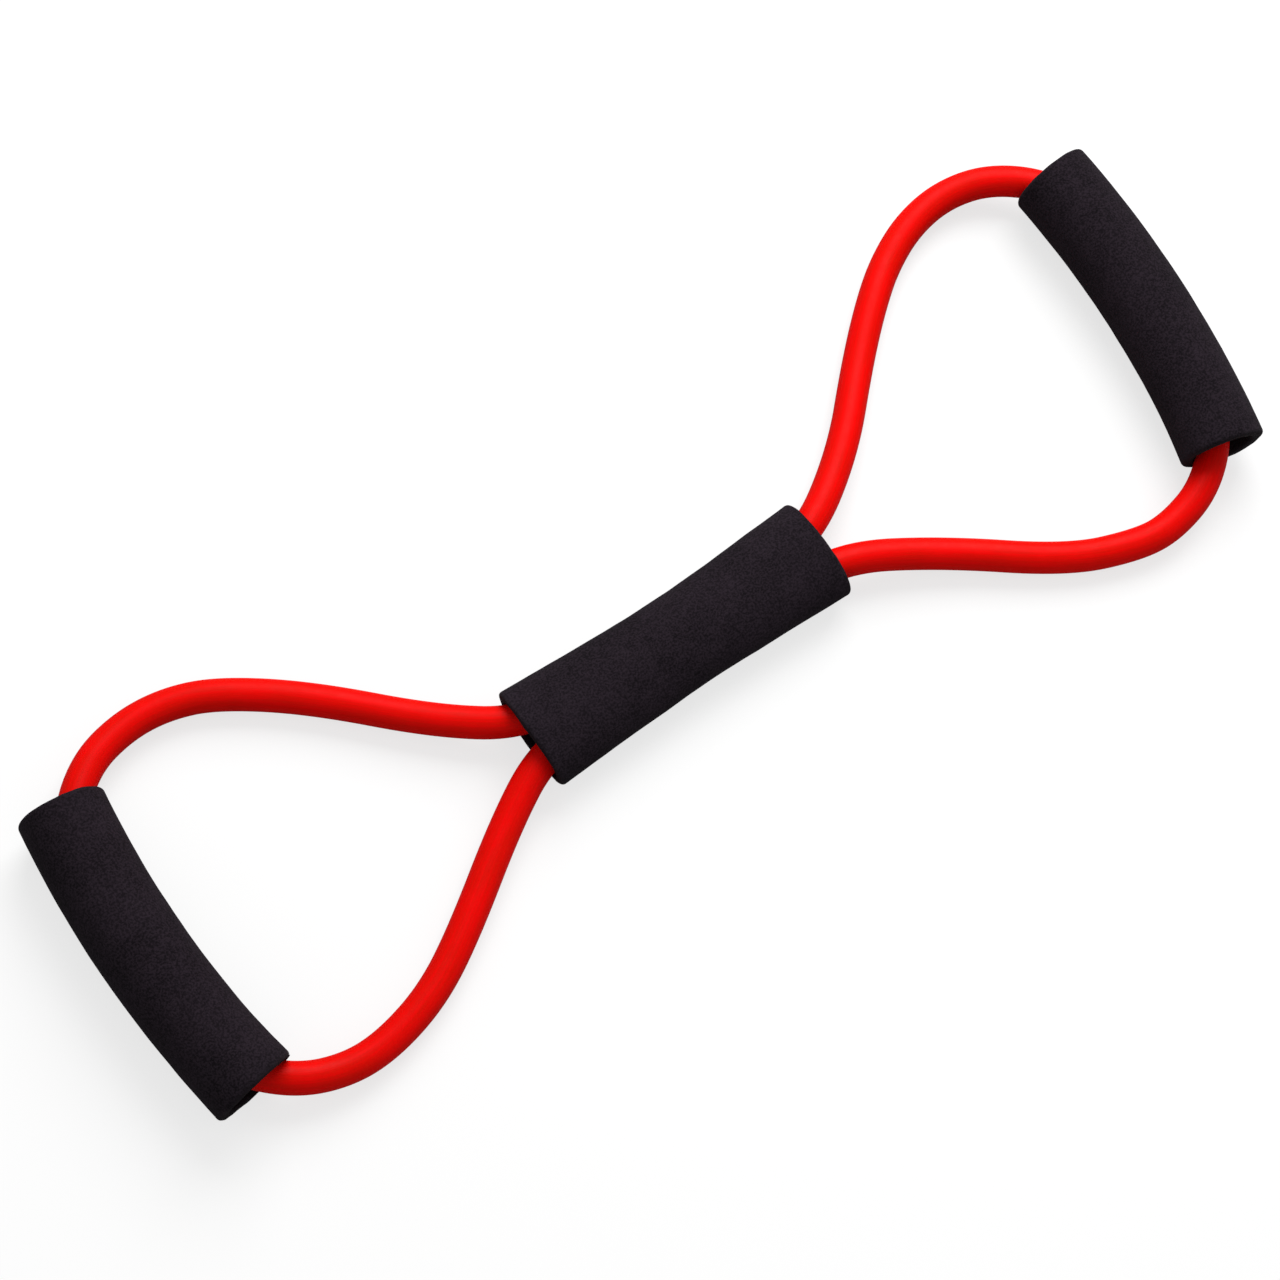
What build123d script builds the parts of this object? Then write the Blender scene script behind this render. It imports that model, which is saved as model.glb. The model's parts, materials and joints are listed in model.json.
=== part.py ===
from build123d import *
import math
import os

# Figure-eight resistance band: elastic tube in two loops, a foam grip sleeve on each loop, and a
# foam sleeve over the crossing. It lies flat on a surface, with +Z up. X runs along the centre
# sleeve, and the origin is under the middle of the three sleeves. Millimetres.

os.makedirs("parts", exist_ok=True)

# Elastic tube
tube_od = 11.0
tube_bore = 7.0
tightest_bend = 3 * tube_od

# Foam sleeves
foam_od = 29.0
foam_wall = 4.5
foam_bore = foam_od - 2 * foam_wall
rim_radius = 1.8
mouth_radius = 1.0
running_gap = 0.3

# Grip sleeves: each is bowed outwards by the tube inside it
grip_bow_radius = 350.0
left_grip_length = 110.6
left_grip_place = (-201.8, 2.7)
left_grip_turn = 0.6
right_grip_length = 114.8
right_grip_place = (200.4, -0.4)
right_grip_turn = -6.2

# Centre sleeve: the same foam squashed oval over two strands, and flared where they part
centre_place = (-3.0, -8.0)
centre_length = 119.0
centre_width = 33.4
centre_height = 22.5
mouth_flare = 2.2
mouth_shift = 0.4
flare_length = 48.0
centre_bore_height = centre_height - 2 * foam_wall
centre_bore_width = centre_width - 2 * foam_wall

# Joiners: barbed plugs inside the centre sleeve, one in each strand
strand_offset = 5.9
strand_height = 10.9
rear_strand = centre_place[1] + strand_offset
front_strand = centre_place[1] - strand_offset
collar_width = 2.4
collar_od = 10.4
plug_od = 5.8
barb_od = 6.4
barb_pitch = 3.6
barb_count = 4
barb_flat = 0.6
barb_start = 1.2
tip_chamfer = 1.0

tube_end = collar_width / 2 + running_gap

# Route of each tube, from its rear joiner round through its grip to its front joiner
left_route = [
    (centre_place[0] - tube_end, rear_strand, strand_height),
    (-19, rear_strand, strand_height),
    (-33.5, -2.5, 10.7),
    (-60, -2.3, 10.9),
    (-83, 15.6, 7.2),
    (-112, 45.8, 5.6),
    (-136, 64, 5.7),
    (-152, 70.3, 6.0),
    (-168, 71.3, 7.0),
    (-185.1, 66.5, 9.4),
    (-200.4, 52.4, 11.8),
    (-207, 30.5, 13.2),
    (-207.3, 4, 13.6),
    (-206.3, -22, 13.1),
    (-200, -43.6, 11.8),
    (-186, -57.3, 9.4),
    (-170, -63.2, 7.0),
    (-154.5, -63.2, 6.0),
    (-134.7, -58, 5.6),
    (-115.2, -47.1, 5.8),
    (-83.5, -25.3, 7.4),
    (-61.5, -13.8, 10.9),
    (-40, -14.2, 10.7),
    (-20, front_strand, strand_height),
    (centre_place[0] - tube_end, front_strand, strand_height),
]
right_route = [
    (centre_place[0] + tube_end, rear_strand, strand_height),
    (13, rear_strand, strand_height),
    (30, -2.4, 10.7),
    (55.5, -2.0, 10.9),
    (84.7, 16.6, 7.2),
    (108, 39.4, 5.6),
    (125, 54.4, 5.7),
    (139, 64.6, 5.6),
    (155, 71.9, 6.0),
    (172, 73.9, 7.0),
    (188.6, 68.6, 9.4),
    (203.3, 54, 11.8),
    (209, 32.3, 13.2),
    (206.2, 4, 13.6),
    (203.1, -25.6, 13.1),
    (195.5, -49.6, 11.8),
    (179.7, -63.5, 9.4),
    (162.3, -67.9, 7.0),
    (149, -66.5, 6.0),
    (125.5, -57.3, 5.6),
    (91, -31, 7.0),
    (60, -13.9, 10.9),
    (34, -14.2, 10.7),
    (14, front_strand, strand_height),
    (centre_place[0] + tube_end, front_strand, strand_height),
]


def bend_radii(route):
    """The radius at each corner: 0.45 of its shorter run over the tangent of half its turn."""
    points = [Vector(*p) for p in route]
    radii = []
    for before, corner, after in zip(points, points[1:], points[2:]):
        run_in = corner - before
        run_out = after - corner
        half_turn = math.radians(run_in.get_angle(run_out)) / 2
        radii.append(0.45 * min(run_in.length, run_out.length) / math.tan(half_turn))
    return radii


def centre_line(route):
    return FilletPolyline(*route, radius=bend_radii(route))


def rod_along(line, diameter):
    return sweep(Plane(line @ 0, z_dir=line % 0) * Circle(diameter / 2), path=line)


def rubber_tube(line):
    return rod_along(line, tube_od) - rod_along(line, tube_bore)


def rims_of(sleeve, diameter):
    """The two round edges of a sleeve's ends that have this diameter."""
    circles = sleeve.edges().filter_by(GeomType.CIRCLE)
    return circles.filter_by(lambda e: abs(e.radius - diameter / 2) < 0.01)


def grip_sleeve(length, place, turn, outward):
    """A round sleeve whose middle line is an arc that bulges outwards, at rest on the surface."""
    half_angle = math.degrees(length / grip_bow_radius / 2)
    bulge = grip_bow_radius * (1 - math.cos(math.radians(half_angle)))
    arc_middle = outward * (bulge / 3 - grip_bow_radius)
    facing = 0 if outward > 0 else 180
    line = CenterArc((arc_middle, 0, 0), grip_bow_radius, facing - half_angle, 2 * half_angle)
    sleeve = rod_along(line, foam_od) - rod_along(line, foam_bore)
    sleeve = fillet(rims_of(sleeve, foam_od), rim_radius)
    sleeve = fillet(rims_of(sleeve, foam_bore), mouth_radius)
    return Pos(place[0], place[1], foam_od / 2) * Rot(0, 0, turn) * sleeve


def oval(x, width, shift=0):
    across = Plane((x, shift, 0), x_dir=(0, 1, 0), z_dir=(1, 0, 0))
    return across * Ellipse(width / 2, centre_height / 2)


def oval_bore():
    outline = SlotOverall(centre_bore_width, centre_bore_height)
    return extrude(Plane.YZ * outline, amount=centre_length / 2, both=True)


def centre_sleeve():
    """An oval sleeve, straight over its middle and flared towards both mouths."""
    half = centre_length / 2
    flared_width = centre_width + 2 * mouth_flare
    waist = half - flare_length
    body = extrude(oval(-waist, centre_width), amount=2 * waist)
    for side in (-1, 1):
        mouth = oval(side * half, flared_width, mouth_shift)
        body += loft([oval(side * waist, centre_width), mouth])
    rims = body.edges().group_by(Axis.X)
    body = fillet(rims[0] + rims[-1], rim_radius)
    return Pos(centre_place[0], centre_place[1], centre_height / 2) * (body - oval_bore())


def joiner(y):
    """A plug with a collar in the middle and barbs that point away from each tube's end."""
    profile = [(0, collar_od / 2), (collar_width / 2, collar_od / 2), (collar_width / 2, plug_od / 2)]
    x = collar_width / 2 + barb_start
    for _ in range(barb_count):
        profile += [(x, plug_od / 2), (x, barb_od / 2), (x + barb_pitch - barb_flat, plug_od / 2)]
        x += barb_pitch
    tip = x + tip_chamfer
    profile += [(x, plug_od / 2), (tip, plug_od / 2 - tip_chamfer), (tip, 0), (0, 0)]
    half = revolve(make_face(Polyline(*profile, close=True)), axis=Axis.X)
    whole = half + mirror(half, about=Plane.YZ)
    return Pos(centre_place[0], y, strand_height) * whole


def pressed_by(sleeve, lines):
    """The sleeve where the tubes have pressed their own shape into its mouths."""
    for line in lines:
        sleeve -= rod_along(line, tube_od + 2 * running_gap)
    return sleeve


left_line = centre_line(left_route)
right_line = centre_line(right_route)

left_grip = grip_sleeve(left_grip_length, left_grip_place, left_grip_turn, -1)
right_grip = grip_sleeve(right_grip_length, right_grip_place, right_grip_turn, 1)

nodes = {
    "centre_foam": pressed_by(centre_sleeve(), [left_line, right_line]),
    "left_grip_foam": pressed_by(left_grip, [left_line]),
    "right_grip_foam": pressed_by(right_grip, [right_line]),
    "left_tube": rubber_tube(left_line),
    "right_tube": rubber_tube(right_line),
    "joiner_rear": joiner(rear_strand),
    "joiner_front": joiner(front_strand),
}

for name, solid in nodes.items():
    export_step(solid, f"parts/{name}.step")

section = math.pi * (tube_od**2 - tube_bore**2) / 4
for name, route, line in (("left", left_route, left_line), ("right", right_route, right_line)):
    radii = bend_radii(route)
    print(name, "tube: length", round(line.length, 1), "radii", [round(r) for r in radii])
    print("  tightest", round(min(radii), 1), "of at least", tightest_bend)
    print("  volume", round(nodes[name + "_tube"].volume), "section x length", round(section * line.length))
sleeves = Compound([nodes[n] for n in nodes if n.endswith("foam")]).bounding_box()
print("sleeves' box", sleeves.min, sleeves.max, "middle", sleeves.center())
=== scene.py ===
import json
import math

import bpy
from mathutils import Matrix, Vector, kdtree, noise


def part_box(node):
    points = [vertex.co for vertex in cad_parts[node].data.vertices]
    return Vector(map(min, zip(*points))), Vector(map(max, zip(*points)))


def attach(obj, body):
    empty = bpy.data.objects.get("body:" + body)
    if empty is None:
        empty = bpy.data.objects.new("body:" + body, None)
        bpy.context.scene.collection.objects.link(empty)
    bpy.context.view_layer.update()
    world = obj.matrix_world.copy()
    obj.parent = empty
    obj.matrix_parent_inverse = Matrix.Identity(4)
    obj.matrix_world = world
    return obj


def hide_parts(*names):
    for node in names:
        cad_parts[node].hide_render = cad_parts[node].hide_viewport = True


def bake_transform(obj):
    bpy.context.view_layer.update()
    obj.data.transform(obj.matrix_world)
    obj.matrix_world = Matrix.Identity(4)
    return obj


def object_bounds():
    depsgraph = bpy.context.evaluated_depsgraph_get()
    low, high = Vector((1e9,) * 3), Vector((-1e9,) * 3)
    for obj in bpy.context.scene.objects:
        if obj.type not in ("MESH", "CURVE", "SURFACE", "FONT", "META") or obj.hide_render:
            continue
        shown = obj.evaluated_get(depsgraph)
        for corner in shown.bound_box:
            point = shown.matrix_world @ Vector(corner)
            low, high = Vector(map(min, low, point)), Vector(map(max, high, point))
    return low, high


# Figure-eight resistance band: red elastic tube in two loops, a bowed foam grip on each loop and an
# oval foam sleeve over the joins. Metres, +Z up, X along the centre sleeve.

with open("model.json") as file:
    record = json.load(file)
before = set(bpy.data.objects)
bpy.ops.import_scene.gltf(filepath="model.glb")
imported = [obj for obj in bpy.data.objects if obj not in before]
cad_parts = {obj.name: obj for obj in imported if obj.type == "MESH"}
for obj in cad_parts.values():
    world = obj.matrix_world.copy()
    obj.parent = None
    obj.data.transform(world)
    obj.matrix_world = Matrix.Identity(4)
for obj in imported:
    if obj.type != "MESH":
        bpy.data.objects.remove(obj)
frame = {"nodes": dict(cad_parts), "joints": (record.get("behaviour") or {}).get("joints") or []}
cadLow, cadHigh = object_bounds()
joints = {joint["name"]: joint for joint in frame["joints"]}
print("frame loaded:", ", ".join(sorted(frame["nodes"])))

# camera, nearly straight above the band

cameraSetup = {
    "target": (-0.0096, 0.0024, 0.0),
    "distance": 1.094,
    "tilt": 18.25,  # degrees from straight down
    "standsAt": 220.3,  # degrees round Z, seen from the target
    "topPointsTo": 54.4,  # degrees round Z, where the top of the picture points
    "lens": 92.3,
    "clipStart": 0.05,
}


def onFloor(degrees):
    return Vector((math.cos(math.radians(degrees)), math.sin(math.radians(degrees)), 0))


def addToScene(name, data):
    made = bpy.data.objects.new(name, data)
    bpy.context.scene.collection.objects.link(made)
    return made


def facing(back, top):
    # the turn that looks against back, with top towards the top of the picture
    right = top.cross(back).normalized()
    return Matrix((right, back.cross(right), back)).transposed().to_4x4()


def addCamera(c):
    tilt = math.radians(c["tilt"])
    back = onFloor(c["standsAt"]) * math.sin(tilt) + Vector((0, 0, math.cos(tilt)))
    data = bpy.data.cameras.new("camera")
    data.lens = c["lens"]
    data.clip_start = c["clipStart"]
    made = addToScene("camera", data)
    place = Vector(c["target"]) + back * c["distance"]
    made.matrix_world = Matrix.Translation(place) @ facing(back, onFloor(c["topPointsTo"]))
    bpy.context.scene.camera = made


addCamera(cameraSetup)
print("camera set")

# shader helper


class Wire:
    # an output in a material's node tree, with the arithmetic that adds Math nodes
    def __init__(self, tree, socket=None):
        self.tree = tree
        self.socket = socket

    def feed(self, node, values):
        for name, value in values.items():
            if isinstance(value, Wire):
                self.tree.links.new(value.socket, node.inputs[name])
            else:
                node.inputs[name].default_value = value

    def node(self, kind, settings=None, values=None, output=0):
        made = self.tree.nodes.new("ShaderNode" + kind)
        for name, value in (settings or {}).items():
            setattr(made, name, value)
        self.feed(made, values or {})
        return Wire(self.tree, made.outputs[output])

    def maths(self, operation, first, second):
        return self.node("Math", {"operation": operation}, {0: first, 1: second})

    def __add__(self, other):
        return self.maths("ADD", self, other)

    __radd__ = __add__

    def __sub__(self, other):
        return self.maths("SUBTRACT", self, other)

    def __rsub__(self, other):
        return self.maths("SUBTRACT", other, self)

    def __mul__(self, other):
        return self.maths("MULTIPLY", self, other)

    __rmul__ = __mul__

    def between(self, low, high):
        # 0 at low and 1 at high
        return self.node("MapRange", None, {"Value": self, "From Min": low, "From Max": high})

    def mix(self, first, second):
        # a colour from first to second
        return self.node("Mix", {"data_type": "RGBA"}, {0: self, 6: first, 7: second}, output=2)

    def noise(self, place, scale, detail, roughness=0.5):
        values = {"Vector": place, "Scale": scale, "Detail": detail, "Roughness": roughness}
        return self.node("TexNoise", None, values)

    def bump(self, strength, depth):
        return self.node("Bump", None, {"Height": self, "Strength": strength, "Distance": depth})


def newMaterial(name):
    made = bpy.data.materials.new(name)
    made.use_nodes = True
    return made, Wire(made.node_tree)


def setShader(material, start, values):
    start.feed(material.node_tree.nodes["Principled BSDF"], values)
    return material


# rubber of the tubes

tubeFinish = {
    "red": (0.82, 0.0010, 0.0006, 1),
    "deepRed": (0.68, 0.0034, 0.0003, 1),
    "bloom": (0.85, 0.030, 0.026, 1),  # a faint powdery film
    "streakWidth": 0.0008,
    "cloudScale": 70.0,  # patches in a metre
    "filmScale": 420.0,
    "streakShare": 0.62,  # of the change in colour, and the clouds make the rest
    "filmAmount": 0.06,
    "roughness": 0.38,
    "filmRoughness": 0.14,  # added where the film lies
    "streakRelief": 0.7,  # of the relief, and the film makes the rest
    "reliefStrength": 0.25,
    "reliefDepth": 0.00012,
    "specular": 0.05,
    "depthWeight": 0.30,  # how much light goes into the rubber
    "depthColour": (1.0, 0.06, 0.02),
    "depthReach": 0.0028,
}


def tubeMaterial(f):
    made, start = newMaterial("tubeRubber")
    flow = start.node("Attribute", {"attribute_name": "flow"}, output="Vector")
    place = start.node("TexCoord", output="Object")
    streaks = start.noise(flow, 1 / f["streakWidth"], 4.0)
    clouds = start.noise(place, f["cloudScale"], 3.0)
    film = start.noise(place, f["filmScale"], 5.0, 0.65)
    cloudShare = 1 - f["streakShare"]
    shade = f["streakShare"] * streaks.between(0.40, 0.60) + cloudShare * clouds.between(0.38, 0.62)
    red = shade.mix(f["deepRed"], f["red"])
    powder = f["filmAmount"] * film.between(0.5, 0.8) * clouds.between(0.4, 0.7)
    relief = f["streakRelief"] * streaks + (1 - f["streakRelief"]) * film
    return setShader(made, start, {
        "Base Color": powder.mix(red, f["bloom"]),
        "Roughness": f["roughness"] + f["filmRoughness"] * film.between(0.35, 0.7),
        "Normal": relief.bump(f["reliefStrength"], f["reliefDepth"]),
        "Specular IOR Level": f["specular"],
        "Subsurface Weight": f["depthWeight"],
        "Subsurface Radius": f["depthColour"],
        "Subsurface Scale": f["depthReach"],
    })


# tubes

tube = {
    "radius": 0.0055,
    "bore": 0.0035,
    "sides": 48,
    "flattens": 0.012,  # share of its width that it loses in a tight bend
    "tightBend": 6,  # radius of such a bend, in radii of the tube
    "curveOrder": 3,
    "curveSteps": 12,  # between two points of the route
    "streakLength": 30,  # how many times longer than wide the streaks are
    "leftRoute": [
        (-0.0045, -0.0021, 0.0109),
        (-0.019, -0.0021, 0.0109),
        (-0.0335, -0.0025, 0.0107),
        (-0.060, -0.0023, 0.0109),
        (-0.083, 0.0156, 0.0072),
        (-0.112, 0.0458, 0.0056),
        (-0.136, 0.064, 0.0057),
        (-0.152, 0.0703, 0.0060),
        (-0.168, 0.0713, 0.0070),
        (-0.1851, 0.0665, 0.0094),
        (-0.2004, 0.0524, 0.0118),
        (-0.207, 0.0305, 0.0132),
        (-0.2073, 0.004, 0.0136),
        (-0.2063, -0.022, 0.0131),
        (-0.200, -0.0436, 0.0118),
        (-0.186, -0.0573, 0.0094),
        (-0.170, -0.0632, 0.0070),
        (-0.1545, -0.0632, 0.0060),
        (-0.1347, -0.0580, 0.0056),
        (-0.1152, -0.0471, 0.0058),
        (-0.0835, -0.0253, 0.0074),
        (-0.0615, -0.0138, 0.0109),
        (-0.040, -0.0142, 0.0107),
        (-0.020, -0.0139, 0.0109),
        (-0.0045, -0.0139, 0.0109),
    ],
    "rightRoute": [
        (-0.0015, -0.0021, 0.0109),
        (0.013, -0.0021, 0.0109),
        (0.030, -0.0024, 0.0107),
        (0.0555, -0.0020, 0.0109),
        (0.0847, 0.0166, 0.0072),
        (0.108, 0.0394, 0.0056),
        (0.125, 0.0544, 0.0057),
        (0.139, 0.0646, 0.0056),
        (0.155, 0.0719, 0.0060),
        (0.172, 0.0739, 0.0070),
        (0.1886, 0.0686, 0.0094),
        (0.2033, 0.0540, 0.0118),
        (0.209, 0.0323, 0.0132),
        (0.2062, 0.004, 0.0136),
        (0.2031, -0.0256, 0.0131),
        (0.1955, -0.0496, 0.0118),
        (0.1797, -0.0635, 0.0094),
        (0.1623, -0.0679, 0.0070),
        (0.149, -0.0665, 0.0060),
        (0.1255, -0.0573, 0.0056),
        (0.091, -0.031, 0.0070),
        (0.060, -0.0139, 0.0109),
        (0.034, -0.0142, 0.0107),
        (0.014, -0.0139, 0.0109),
        (-0.0015, -0.0139, 0.0109),
    ],
}


def smoothLine(route, t):
    # the points down a NURBS curve that has the route as its control points
    curve = bpy.data.curves.new("route", "CURVE")
    curve.dimensions = "3D"
    spline = curve.splines.new("NURBS")
    spline.points.add(len(route) - 1)
    for point, place in zip(spline.points, route):
        point.co = (*place, 1)
    spline.order_u = t["curveOrder"]
    spline.use_endpoint_u = True
    spline.resolution_u = t["curveSteps"]
    holder = bpy.data.objects.new("route", curve)
    mesh = bpy.data.meshes.new_from_object(holder)
    line = [vertex.co.copy() for vertex in mesh.vertices]
    bpy.data.objects.remove(holder)
    bpy.data.curves.remove(curve)
    bpy.data.meshes.remove(mesh)
    return line


def lineLength(line):
    return sum((b - a).length for a, b in zip(line, line[1:]))


def ringSkin(name, rings, material):
    # a closed skin over rings of points, each joined to the next and the last to the first
    sharpEdge = math.radians(50)
    count = len(rings[0])
    faces = []
    for i in range(len(rings)):
        here = i * count
        there = (i + 1) % len(rings) * count
        for k in range(count):
            after = (k + 1) % count
            faces.append((here + k, here + after, there + after, there + k))
    mesh = bpy.data.meshes.new(name)
    mesh.from_pydata([point for ring in rings for point in ring], [], faces)
    mesh.shade_smooth()
    mesh.set_sharp_from_angle(angle=sharpEdge)
    mesh.materials.append(material)
    return addToScene(name, mesh)


def setAttribute(piece, name, kind, field, values):
    made = piece.data.attributes.new(name, kind, "POINT")
    made.data.foreach_set(field, values)


def tubePiece(name, line, material, t):
    steps = []  # place, sideways, upwards, bend (1 in a tight bend), distance along
    along = 0
    for i, place in enumerate(line):
        before = line[max(i - 1, 0)]
        after = line[min(i + 1, len(line) - 1)]
        forward = (after - before).normalized()
        sideways = Vector((0, 0, 1)).cross(forward).normalized()
        turn = 0
        if 0 < i < len(line) - 1:
            turn = (place - before).angle(after - place) / ((after - before).length / 2)
        along += (place - before).length
        bend = turn * t["tightBend"] * t["radius"]
        steps.append((place, sideways, forward.cross(sideways), bend, along))

    def ring(step, radius):
        place, sideways, upwards, bend, _ = step
        flat = t["flattens"] * min(bend, 1)
        points = []
        for k in range(t["sides"]):
            angle = math.tau * k / t["sides"]
            across = sideways * math.cos(angle) * (1 - flat)
            points.append(place + radius * (across + upwards * math.sin(angle) * (1 + flat)))
        return points

    order = [(step, t["radius"]) for step in steps]
    order += [(step, t["bore"]) for step in reversed(steps)]
    made = ringSkin(name, [ring(step, radius) for step, radius in order], material)
    flow = []
    for step, radius in order:
        for k in range(t["sides"]):
            angle = math.tau * k / t["sides"]
            flow += [radius * math.cos(angle), radius * math.sin(angle), step[4] / t["streakLength"]]
    setAttribute(made, "flow", "FLOAT_VECTOR", "vector", flow)
    return made


rubber = tubeMaterial(tubeFinish)
leftLine = smoothLine(tube["leftRoute"], tube)
rightLine = smoothLine(tube["rightRoute"], tube)
leftTube = tubePiece("left_elastic_tube", leftLine, rubber, tube)
rightTube = tubePiece("right_elastic_tube", rightLine, rubber, tube)
for piece, node, loop, line, mouth, shoulder in (
    (leftTube, "left_tube", "left_loop", leftLine, -0.045, -0.150),
    (rightTube, "right_tube", "right_loop", rightLine, 0.042, 0.147),
):
    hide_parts(node)
    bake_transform(piece)
    lineLength(line)
    print(piece.name, "is", round(lineLength(line), 4), "m long")

# foam of the sleeves

foamFinish = {
    "skin": (0.0205, 0.0140, 0.0200, 1),
    "skinDark": (0.0028, 0.0016, 0.0028, 1),
    "cut": (0.0085, 0.0060, 0.0080, 1),
    "scuff": (0.030, 0.024, 0.029, 1),
    "grain": 0.0007,
    "cells": 0.0008,
    "cloudScale": 45.0,  # patches in a metre
    "markScale": 260.0,
    "grainShare": 0.6,  # of the change in colour, with the clouds and marks below
    "cloudShare": 0.2,
    "markShare": 0.2,
    "rimWear": 0.35,
    "skinWear": 0.05,
    "roughness": 0.80,
    "grainRoughness": 0.15,
    "grainRelief": 0.6,  # of the skin's relief, and the marks make the rest
    "cellRelief": 1.6,
    "reliefStrength": 0.8,
    "reliefDepth": 0.0003,
    "specular": 0.06,
    "sheen": 0.015,
    "sheenRoughness": 0.6,
}


def foamMaterial(f):
    made, start = newMaterial("blackFoam")
    place = start.node("TexCoord", output="Object")
    cutFace = start.node("Attribute", {"attribute_name": "cutFace"}, output="Fac")
    rim = start.node("Attribute", {"attribute_name": "rim"}, output="Fac")
    grain = start.noise(place, 1 / f["grain"], 3.0)
    pores = start.node("TexVoronoi", None, {"Vector": place, "Scale": 1 / f["cells"]})
    clouds = start.noise(place, f["cloudScale"], 2.0)
    marks = start.noise(place, f["markScale"], 6.0, 0.7)
    tone = f["grainShare"] * grain.between(0.40, 0.60) + f["cloudShare"] * clouds.between(0.35, 0.65)
    tone = tone + f["markShare"] * marks.between(0.35, 0.65)
    skin = tone.mix(f["skinDark"], f["skin"])
    body = (cutFace * pores.between(0.1, 0.6)).mix(skin, f["cut"])
    worn = f["rimWear"] * rim * marks.between(0.45, 0.7) + f["skinWear"] * marks.between(0.66, 0.74)
    skinRelief = f["grainRelief"] * grain + (1 - f["grainRelief"]) * marks
    relief = (1 - cutFace) * skinRelief + cutFace * pores * f["cellRelief"]
    return setShader(made, start, {
        "Base Color": worn.mix(body, f["scuff"]),
        "Roughness": f["roughness"] + f["grainRoughness"] * grain,
        "Normal": relief.bump(f["reliefStrength"], f["reliefDepth"]),
        "Specular IOR Level": f["specular"],
        "Sheen Weight": f["sheen"],
        "Sheen Roughness": f["sheenRoughness"],
    })


sleeve = {
    "wall": 0.0045,
    "rim": 0.0015,
    "mouth": 0.0010,
    "sides": 144,
    "ringEvery": 0.0012,
    "slant": 0.095,  # how far the near mouth leans over, as a slope
    "slantBelow": 0.3,  # share of that slope on the lower half
    "slantReach": 0.020,  # how far in from the mouth it fades out
    "unevenness": 0.00014,
    "swells": 55,  # the broad part of the unevenness, in a metre
    "dents": 170,  # and the fine part
    "dentShare": 0.5,  # height of the fine part, over the broad part's
    "cutUneven": 2,  # how many times as uneven the cut faces are, lengthwise
    "cutFiner": 1.7,  # and how many times finer
    "gap": 0.0001,  # left between the foam and a tube
    "press": 0.00025,  # how softly the foam gives round the tube
}


def profile(length, s):
    # (place along, height over the bore, cut or moulded, nearness to a rim) round a sleeve's wall
    half = length / 2
    wall, rim, mouth = s["wall"], s["rim"], s["mouth"]
    faceWear, mouthWear = 0.3, 0.2
    arcSteps = 8
    cap = []
    for i in range(1, arcSteps):
        a = math.pi / 2 * (1 - i / arcSteps)
        height = wall - rim + rim * math.sin(a)
        cap.append((half - rim + rim * math.cos(a), height, i / arcSteps, math.sin(2 * a)))
    faceSteps = 3
    for i in range(faceSteps + 1):
        cap.append((half, wall - rim - (wall - rim - mouth) * i / faceSteps, 1, faceWear))
    for i in range(1, arcSteps):
        a = math.pi / 2 * i / arcSteps
        height = mouth - mouth * math.sin(a)
        cap.append((half - mouth + mouth * math.cos(a), height, 1, mouthWear))
    outer = spread(-half + rim, half - rim, s["ringEvery"])
    inner = spread(half - mouth, -half + mouth, s["ringEvery"])
    around = [(x, wall, 0, 0) for x in outer] + cap + [(x, 0, 1, 0) for x in inner]
    return around + [(-x, height, cut, wear) for x, height, cut, wear in reversed(cap)]


def spread(low, high, step):
    count = max(2, round(abs(high - low) / step))
    return [low + (high - low) * i / count for i in range(count + 1)]


class TubeMiddles:
    # points down the middle of the tubes, to keep foam clear of them
    def __init__(self, lines):
        parts = 4  # points for each step of a line
        points = []
        for line in lines:
            for a, b in zip(line, line[1:]):
                points += [a.lerp(b, part / parts) for part in range(parts)]
        self.tree = kdtree.KDTree(len(points))
        for i, point in enumerate(points):
            self.tree.insert(point, i)
        self.tree.balance()

    def pressed(self, point, radius, softness):
        # the point, pushed softly away from the nearest middle
        farRoom, leastGap = 8, 0.0001
        nearest, _, gap = self.tree.find(point)
        room = (gap - radius) / softness
        if room > farRoom:
            return point
        clear = radius + softness * math.log(1 + math.exp(room))
        return nearest + (point - nearest) * (clear / max(gap, leastGap))

    def cleared(self, point, out, radius):
        # the point, moved outwards until the tubes have room
        tries, spare = 8, 0.00002
        for _ in range(tries):
            gap = self.tree.find(point)[2]
            if gap >= radius:
                break
            point = point + out * (radius - gap + spare)
        return point


def uneven(point, s):
    broad = s["unevenness"] * noise.noise(point * s["swells"])
    return broad + s["dentShare"] * s["unevenness"] * noise.noise(point * s["dents"])


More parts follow.
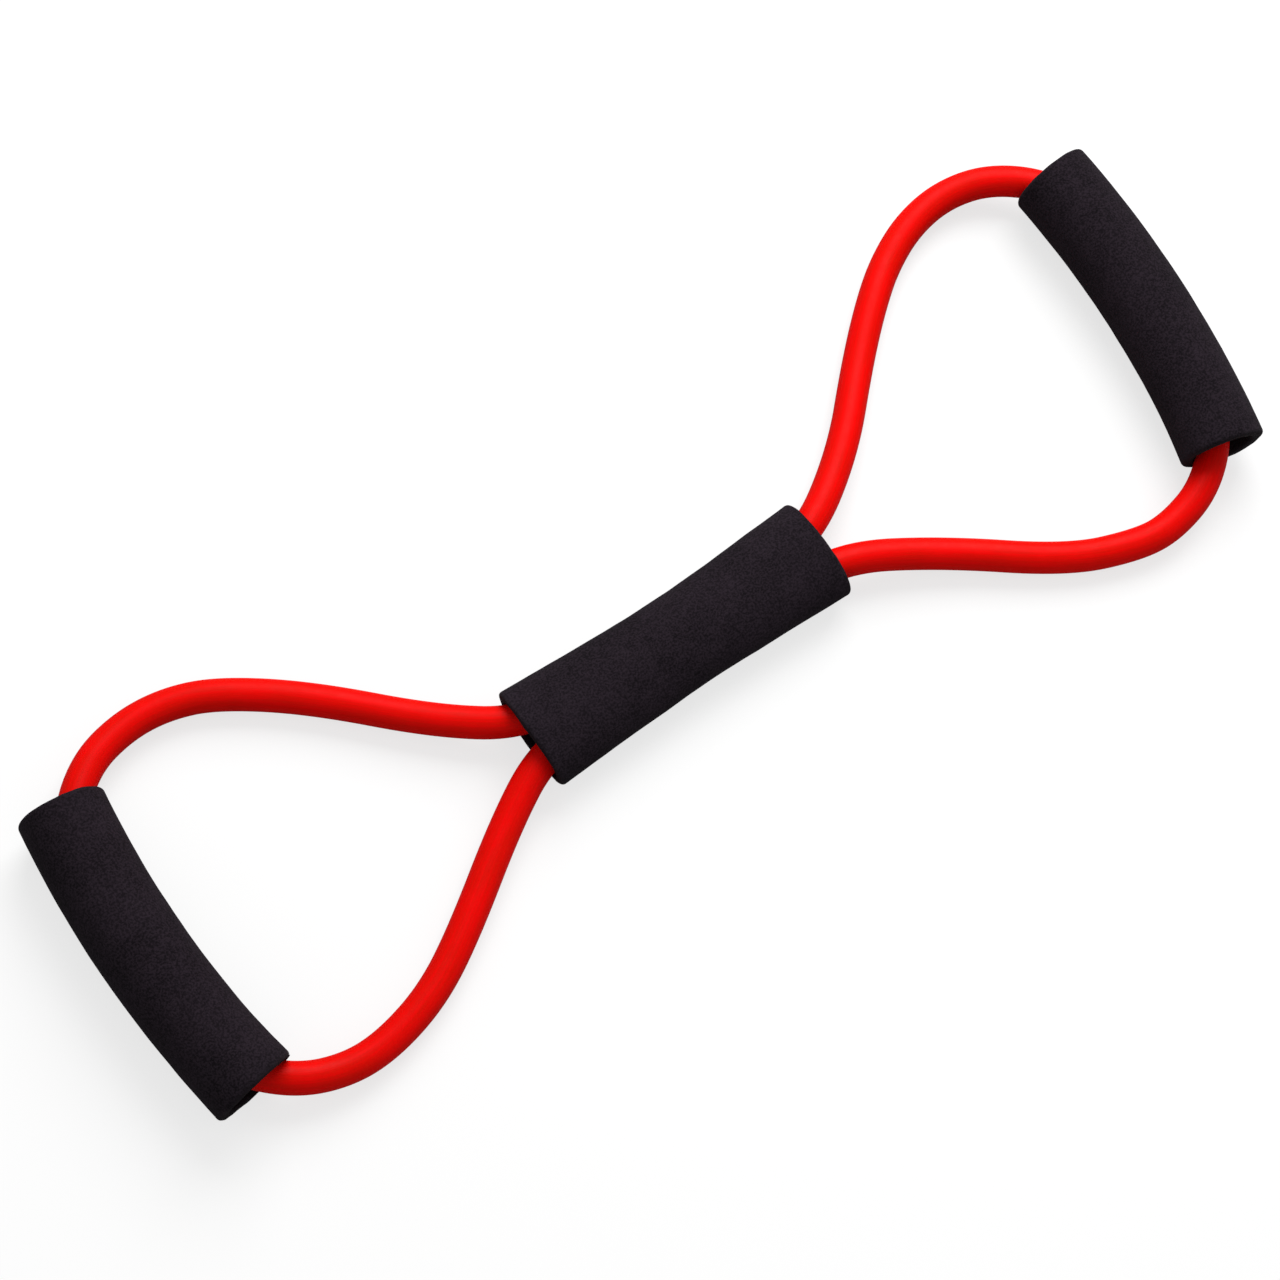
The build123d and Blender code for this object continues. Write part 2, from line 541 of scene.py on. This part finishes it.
def sleevePiece(name, length, middleAt, radii, near, swept, material, s):
    # middleAt gives the place and direction along the sleeve, and radii its bore and skin at an angle;
    # near is where the tubes are, and swept is everywhere that they get to
    clear = tube["radius"] + s["gap"]
    rings = []
    cuts = []
    rims = []
    for x, height, cut, rim in profile(length, s):
        place, forward = middleAt(x)
        sideways = Vector((0, 0, 1)).cross(forward)
        lean = s["slant"] * max(0, 1 - (x + length / 2) / s["slantReach"])
        ring = []
        for k in range(s["sides"]):
            angle = math.tau * k / s["sides"]
            bore, skin = radii(x, angle)
            out = sideways * math.cos(angle) + Vector((0, 0, math.sin(angle)))
            point = place + out * (bore + (skin - bore) * height / s["wall"])
            rise = point.z - place.z
            point -= forward * lean * max(rise, s["slantBelow"] * rise)
            cutUneven = s["cutUneven"] * uneven(point * s["cutFiner"], s)
            point += out * uneven(point, s) + forward * cut * cutUneven
            point = near.pressed(point, clear, s["press"])
            point = swept.cleared(point, out, clear)
            point.z = max(point.z, cadLow.z)
            ring.append(point)
        rings.append(ring)
        cuts += [cut] * s["sides"]
        rims += [rim] * s["sides"]
    made = ringSkin(name, rings, material)
    setAttribute(made, "cutFace", "FLOAT", "value", cuts)
    setAttribute(made, "rim", "FLOAT", "value", rims)
    return made


grip = {
    "bow": 0.350,  # radius of the arc that it is bowed to
    "flare": 0.0004,  # how much wider the near mouth is, all round
    "flareReach": 0.030,
    "spin": 30,  # degrees that it turns each way
    "spinStep": 10,
    "left": {"length": 0.1108, "swell": 0.0003, "outward": -1},  # swell is over the solid's radius
    "right": {"length": 0.1152, "swell": 0.0, "outward": 1},
}


def spunLines(line, joint, g):
    # where the tube goes, seen from a grip that is turned through the joint's range
    pivot = Vector(joint["pos_m"])
    spun = []
    for degrees in range(-g["spin"], g["spin"] + 1, g["spinStep"]):
        turn = Matrix.Rotation(math.radians(degrees), 3, Vector(joint["axis"]))
        spun.append([pivot + turn @ (point - pivot) for point in line])
    return spun


def gripPiece(name, node, joint, side, near, line, material, g, s):
    # a round sleeve bowed outwards, its chord along the axis that it turns round
    low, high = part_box(node)
    skin = (high.z - low.z) / 2 + side["swell"]
    length = side["length"]
    chord = Vector(joint["axis"])
    out = side["outward"] * chord.cross(Vector((0, 0, 1))).normalized()
    bulge = g["bow"] * (1 - math.cos(length / g["bow"] / 2))

    def middleAt(x):
        # a third of the bulge lies outside the axis, so that the arc's mean is on it
        turn = x / g["bow"]
        place = Vector(joint["pos_m"]) + out * (bulge / 3 - g["bow"] * (1 - math.cos(turn)))
        along = chord * math.cos(turn) - out * math.sin(turn)
        return place + chord * g["bow"] * math.sin(turn), along

    def radii(x, angle):
        wider = g["flare"] * max(0, 1 - (x + length / 2) / g["flareReach"]) ** 2
        return skin - s["wall"] + wider, skin + wider

    swept = TubeMiddles(spunLines(line, joint, g))
    return sleevePiece(name, length, middleAt, radii, near, swept, material, s)


centre = {
    "trim": 0.0008,  # how much shorter than its solid it is
    "slimmer": 0.0002,  # and how much narrower, on each side
    "boreWidth": 0.0244,
    "flareRear": 0.0025,  # how far each side of its mouths spreads
    "flareFront": 0.0019,
    "flareLength": 0.055,
    "flareCurve": 1.3,  # 1 would spread it evenly, and more leaves the spread to the mouths
}


def centrePiece(name, near, material, c, s):
    # an oval sleeve over two strands side by side, spread at its mouths
    low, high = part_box("centre_foam")
    middle = (low + high) / 2 + Vector((0, (c["flareFront"] - c["flareRear"]) / 2, 0))
    length = high.x - low.x - c["trim"]
    halfWidth = (high.y - low.y - c["flareFront"] - c["flareRear"]) / 2 - c["slimmer"]
    halfHeight = (high.z - low.z) / 2
    boreHalfWidth = c["boreWidth"] / 2
    boreHalfHeight = halfHeight - s["wall"]

    def middleAt(x):
        return middle + Vector((x, 0, 0)), Vector((1, 0, 0))

    def radii(x, angle):
        spreadPart = max(0, (abs(x) - length / 2 + c["flareLength"]) / c["flareLength"])
        flare = c["flareRear"] if math.cos(angle) > 0 else c["flareFront"]
        wider = flare * spreadPart ** c["flareCurve"]
        across, upward = abs(math.cos(angle)), abs(math.sin(angle))
        skin = 1 / math.hypot(across / (halfWidth + wider), upward / halfHeight)
        straight = boreHalfWidth + wider - boreHalfHeight
        if upward * straight < across * boreHalfHeight:
            offset = straight * across
            bore = offset + math.sqrt(boreHalfHeight**2 - (straight * upward) ** 2)
        else:
            bore = boreHalfHeight / upward
        return bore, skin

    return sleevePiece(name, length, middleAt, radii, near, near, material, s)


foam = foamMaterial(foamFinish)
near = TubeMiddles([leftLine, rightLine])
centreFoam = centrePiece("centre_foam_sleeve", near, foam, centre, sleeve)
leftGrip = gripPiece("left_foam_grip", "left_grip_foam", joints["left_spin"],
                     grip["left"], near, leftLine, foam, grip, sleeve)
rightGrip = gripPiece("right_foam_grip", "right_grip_foam", joints["right_spin"],
                      grip["right"], near, rightLine, foam, grip, sleeve)
for piece, node, body in (
    (centreFoam, "centre_foam", "centre"),
    (leftGrip, "left_grip_foam", "left_grip"),
    (rightGrip, "right_grip_foam", "right_grip"),
):
    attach(piece, body)
    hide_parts(node)
    print(piece.name, len(piece.data.polygons), "faces")

# joiners, which keep their solids' shape

joinerFinish = {
    "nylon": (0.74, 0.71, 0.64, 1),
    "nylonWarm": (0.66, 0.61, 0.52, 1),
    "cloudScale": 260.0,  # patches in a metre
    "fineScale": 2600.0,
    "roughness": 0.38,
    "fineRoughness": 0.16,
    "reliefStrength": 0.3,
    "reliefDepth": 0.00005,
}


def joinerMaterial(f):
    made, start = newMaterial("naturalNylon")
    place = start.node("TexCoord", output="Object")
    clouds = start.noise(place, f["cloudScale"], 3.0)
    fine = start.noise(place, f["fineScale"], 2.0)
    return setShader(made, start, {
        "Base Color": clouds.between(0.35, 0.65).mix(f["nylonWarm"], f["nylon"]),
        "Roughness": f["roughness"] + f["fineRoughness"] * fine,
        "Normal": fine.bump(f["reliefStrength"], f["reliefDepth"]),
    })


nylon = joinerMaterial(joinerFinish)
for node in ("joiner_rear", "joiner_front"):
    joinerMesh = frame["nodes"][node].data
    joinerMesh.materials.clear()
    joinerMesh.materials.append(nylon)
print("joiners finished in nylon")

# floor and light

studio = {
    "floorColour": (0.28, 0.28, 0.28, 1),
    "floorGlow": 0.71,  # what the camera sees of it, over the light that falls on it
    "floorHalf": 8.0,
    "floorDrop": 0.00005,  # so that the band's underside isn't in its plane
    "floorRoughness": 0.9,
    "sky": 0.48,
    "keySize": 0.9,
    "keyPower": 17.5,
    "keyDistance": 1.2,
    "keyFrom": 43.0,  # degrees round Z
    "keyHeight": 45.0,  # degrees above the floor
}


def addFloor(s):
    h = s["floorHalf"]
    mesh = bpy.data.meshes.new("floor")
    mesh.from_pydata([(-h, -h, 0), (h, -h, 0), (h, h, 0), (-h, h, 0)], [], [(0, 1, 2, 3)])
    material, start = newMaterial("paleFloor")
    seen = start.node("LightPath", output="Is Camera Ray")
    mesh.materials.append(setShader(material, start, {
        "Base Color": s["floorColour"],
        "Roughness": s["floorRoughness"],
        "Specular IOR Level": 0.0,
        "Emission Color": seen.mix((0, 0, 0, 1), (1, 1, 1, 1)),
        "Emission Strength": s["floorGlow"],
    }))
    made = addToScene("floor", mesh)
    made.location.z = cadLow.z - s["floorDrop"]


def addLights(s):
    world = bpy.data.worlds.new("studio")
    world.use_nodes = True
    sky = world.node_tree.nodes["Background"]
    sky.inputs["Color"].default_value = (1, 1, 1, 1)
    sky.inputs["Strength"].default_value = s["sky"]
    bpy.context.scene.world = world
    height = math.radians(s["keyHeight"])
    back = onFloor(s["keyFrom"]) * math.cos(height) + Vector((0, 0, math.sin(height)))
    data = bpy.data.lights.new("key", "AREA")
    data.shape = "SQUARE"
    data.size = s["keySize"]
    data.energy = s["keyPower"]
    made = addToScene("key", data)
    made.matrix_world = Matrix.Translation(back * s["keyDistance"]) @ facing(back, Vector((0, 0, 1)))


addFloor(studio)
addLights(studio)
bpy.context.scene.view_settings.view_transform = "Standard"
print("floor and light set")
